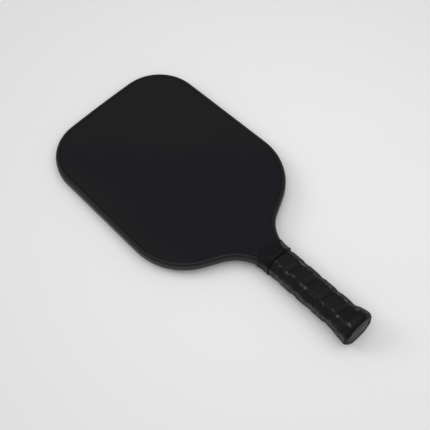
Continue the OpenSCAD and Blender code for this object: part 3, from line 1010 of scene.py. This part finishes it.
def collar_surface(height, inset):
    """One section for each height, as points round it, moved in by an inset.

    Width, depth, the corners' cut and their radius are each a smooth curve of the height.
    """
    places = [117.1, 120.0, 125.5, 131.0]
    width = cubic_through(height, places, [34.9, 34.9, 36.0, 37.8])
    depth = cubic_through(height, places, [30.6, 30.6, 25.4, 19.4])
    cut = cubic_through(height, places, [8.2, 8.2, 6.4, 3.6])
    radius = cubic_through(height, places, [3.2, 3.2, 3.4, 3.0])
    section, _ = eight_sided(width - 2 * inset, depth - 2 * inset, cut - 0.6 * inset,
                             np.maximum(radius - inset, 0.4), 6, 8)
    return section


def collar_rubber():
    """Smooth satin rubber with a faint moulding skin. Its thin tongues take the faces' tone."""
    finish = Finish("collar_rubber", Specular_IOR_Level=0.15)
    place = finish.place()
    skin = finish.noise(place, 1300.0, 3.0, 0.5)
    dull = finish.noise(place, 80.0, 3.0)
    rubber = finish.blend(dull, grey(0.0022, 1.0, 0.98, 1.1), grey(0.0034, 1.0, 0.98, 1.1))
    along = finish.node("ShaderNodeSeparateXYZ", {}, {0: place}, "Y")
    finish.set(Base_Color=finish.blend(finish.ramp(along, 0.121, 0.132), rubber,
                                       grey(0.0044, 1.0, 0.90, 1.75)),
               Roughness=finish.ramp(dull, 0.3, 0.7, 0.4, 0.52))
    return finish.bumped(skin, 0.00003, 0.6)


def collar():
    """A skin that is closed both ways: up the outside from the ring to the edge, and back inside.

    Each sample round the section ends at its own height: level with the guard's ends at the sides,
    and out along a half-round tongue on each face, where the wall thins to a feather.
    """
    side = collar_surface(np.array([SIDE_END]), 0.0)[0]
    count = len(side)
    sample = np.arange(count)
    share = np.clip(np.abs(side[:, 0]) / TONGUE_HALF, 0.0, 1.0)
    facing = (np.abs(side[:, 1]) > FACE_HEIGHT + 0.4) & (share < 1.0)
    out = np.where(facing, np.sqrt(np.clip(1.0 - share ** 2, 0.0, 1.0)), 0.0)
    tongue = (TONGUE_END - SIDE_END) * out
    start = RING_START + RING_LENGTH
    body_length = SIDE_END - start

    bead_angle = np.radians(np.linspace(-180.0, 0.0, 11))
    bead_y = RING_START + RING_LENGTH / 2 * (1 + np.cos(bead_angle))
    bead_out = BEAD_HEIGHT * np.sqrt(np.abs(np.sin(bead_angle)))

    def at(heights, inset):
        """One point for each sample, from the section at its own height and inset."""
        own = collar_surface(heights, inset)[sample, sample]
        return np.stack([own[:, 0], heights, own[:, 1]], axis=1)

    def row(s, inside):
        """A row at a share s of each sample's own length: up the body, then out on its tongue.

        On the tongue the surface falls to the face as the power 0.8 of what is left to go.
        """
        gone = s * (body_length + tongue)
        wall = (COLLAR_WALL + (0.15 - COLLAR_WALL) * smooth_step((s - 0.6) / 0.4)
                * np.sign(tongue)) * inside
        points = at(np.minimum(start + gone, SIDE_END), wall)
        past = np.clip((gone - body_length) / np.maximum(tongue, 0.001), 0.0, 1.0)
        lift = FACE_HEIGHT + 0.02 + 0.13 * (1 - inside)
        drop = np.abs(points[:, 2]) - lift
        points[:, 1] += past * tongue
        points[:, 2] = np.where(past > 0.0, np.sign(points[:, 2])
                                * (lift + drop * (1.0 - past) ** 0.8), points[:, 2])
        points[:, 0] *= 1.0 - 0.1 * past
        return points

    body = np.linspace(0.0, 1.0, 38)[1:]
    outer = [at(np.full(count, y), np.full(count, -proud)) for y, proud in zip(bead_y, bead_out)]
    outer += [row(s, 0.0) for s in body]
    inner = [row(s, 1.0) for s in body[::-1]]
    inner += [at(np.full(count, y), np.full(count, COLLAR_WALL)) for y in (start, RING_START + 0.1)]
    rings = np.stack(outer + inner)
    return add_piece("collar_boot", rings.reshape(-1, 3), skin_rings(rings, capped=False),
                     collar_rubber(), ["collar"], sharp_deg=50.0)


collar()

# ---------------------------------------------------------------------------------------------
# The table. The paddle lies face up on a pale sheet, on the collar's ring and on the tip's edge
# guard, so the sheet is tilted a little against the paddle.
# ---------------------------------------------------------------------------------------------

CLEARANCE = 0.1
LIP_ROUND = 3.0
ring_at = (RING_START + RING_LENGTH / 2) * MM
tip_at = (PADDLE_LENGTH - LIP_ROUND) * MM
ring_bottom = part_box("collar")[0][2]
tip_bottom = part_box("edge_guard")[0][2]
tilt = math.atan((tip_bottom - ring_bottom) / (tip_at - ring_at))
sheet_height = (ring_bottom - ring_at * math.tan(tilt)) * math.cos(tilt) - CLEARANCE * MM
table_frame = Matrix.Rotation(tilt, 4, "X") @ Matrix.Translation((0.0, 0.0, sheet_height))


def table():
    """One large flat sheet with a painted pool of light: palest under the paddle and a little
    darker further out.
    """
    half = 20.0
    mesh = bpy.data.meshes.new("table")
    corners = [(-half, -half, 0.0), (half, -half, 0.0), (half, half, 0.0), (-half, half, 0.0)]
    mesh.from_pydata([table_frame @ Vector(c) for c in corners], [], [(0, 1, 2, 3)])
    sheet = Finish("pale_sheet", Specular_IOR_Level=0.2, Roughness=0.7)
    # Painted light: the sheet's colour is palest round a point under the paddle and darker further
    # out, as a pool of light would fall.
    middle = sheet.node("ShaderNodeVectorMath", {"operation": "DISTANCE"},
                        {0: sheet.place(), 1: (0.06, 0.16, 0.0)}, "Value")
    sheet.set(Base_Color=sheet.blend(sheet.ramp(middle, 0.05, 0.55), (0.872, 0.872, 0.872, 1.0),
                                     (0.752, 0.750, 0.748, 1.0)))
    mesh.materials.append(sheet.material)
    top = bpy.data.objects.new("table", mesh)
    bpy.context.scene.collection.objects.link(top)


table()

# ---------------------------------------------------------------------------------------------
# Light and camera. A soft key from the left, a broad soft light from high up on the camera's own
# side, and an even pale room. The camera looks down across the paddle from the left of its butt.
# ---------------------------------------------------------------------------------------------

VIEW_RIGHT = Vector((1.0, -1.0, 0.0)).normalized()
VIEW_AWAY = Vector((1.0, 1.0, 0.0)).normalized()


def soft_sun(name, right, away, elevation_deg, spread_deg, strength):
    """A distant soft light. Right and away say where it stands, as the camera sees the table."""
    flat = (VIEW_RIGHT * right + VIEW_AWAY * away).normalized()
    rise = math.radians(elevation_deg)
    stands = flat * math.cos(rise) + Vector((0.0, 0.0, math.sin(rise)))
    lamp = bpy.data.lights.new(name, "SUN")
    lamp.energy = strength
    lamp.angle = math.radians(spread_deg)
    holder = bpy.data.objects.new(name, lamp)
    aim = table_frame.to_3x3() @ stands
    holder.rotation_mode = "QUATERNION"
    holder.rotation_quaternion = aim.to_track_quat("Z", "Y")
    bpy.context.scene.collection.objects.link(holder)


def room():
    """An even white surround that fills the shadows and gives the black pieces their sheen."""
    world = bpy.data.worlds.new("room")
    world.use_nodes = True
    tree = world.node_tree
    backdrop = tree.nodes["Background"]
    backdrop.inputs["Color"].default_value = (1.0, 1.0, 1.0, 1.0)
    backdrop.inputs["Strength"].default_value = 0.36
    bpy.context.scene.world = world


def camera():
    """Looks at a point on the table from a bearing, an elevation and a distance, a bit rolled."""
    azimuth = math.radians(-45.619)
    elevation = math.radians(59.798)
    roll = math.radians(1.448)
    distance = 1.2687
    target = Vector((-0.0024, 0.2112, 0.0))
    back = Vector((math.sin(azimuth) * math.cos(elevation),
                   -math.cos(azimuth) * math.cos(elevation), math.sin(elevation)))
    eye = target + back * distance
    right = (-back).cross(Vector((0.0, 0.0, 1.0))).normalized()
    up = right.cross(-back)
    turned_right = right * math.cos(roll) + up * math.sin(roll)
    turned_up = up * math.cos(roll) - right * math.sin(roll)
    lens = bpy.data.cameras.new("camera")
    lens.sensor_width = 36.0
    lens.lens = 95.37
    lens.clip_start = 0.05
    lens.clip_end = 100.0
    holder = bpy.data.objects.new("camera", lens)
    axes = Matrix((turned_right, turned_up, back)).transposed().to_4x4()
    holder.matrix_world = table_frame @ Matrix.Translation(eye) @ axes
    bpy.context.scene.collection.objects.link(holder)
    bpy.context.scene.camera = holder


soft_sun("key_light", -1.0, 0.17, 37.0, 28.0, 0.62)
soft_sun("broad_light", 0.45, -1.0, 77.0, 80.0, 1.52)
room()
camera()
bpy.context.scene.view_settings.view_transform = "Standard"
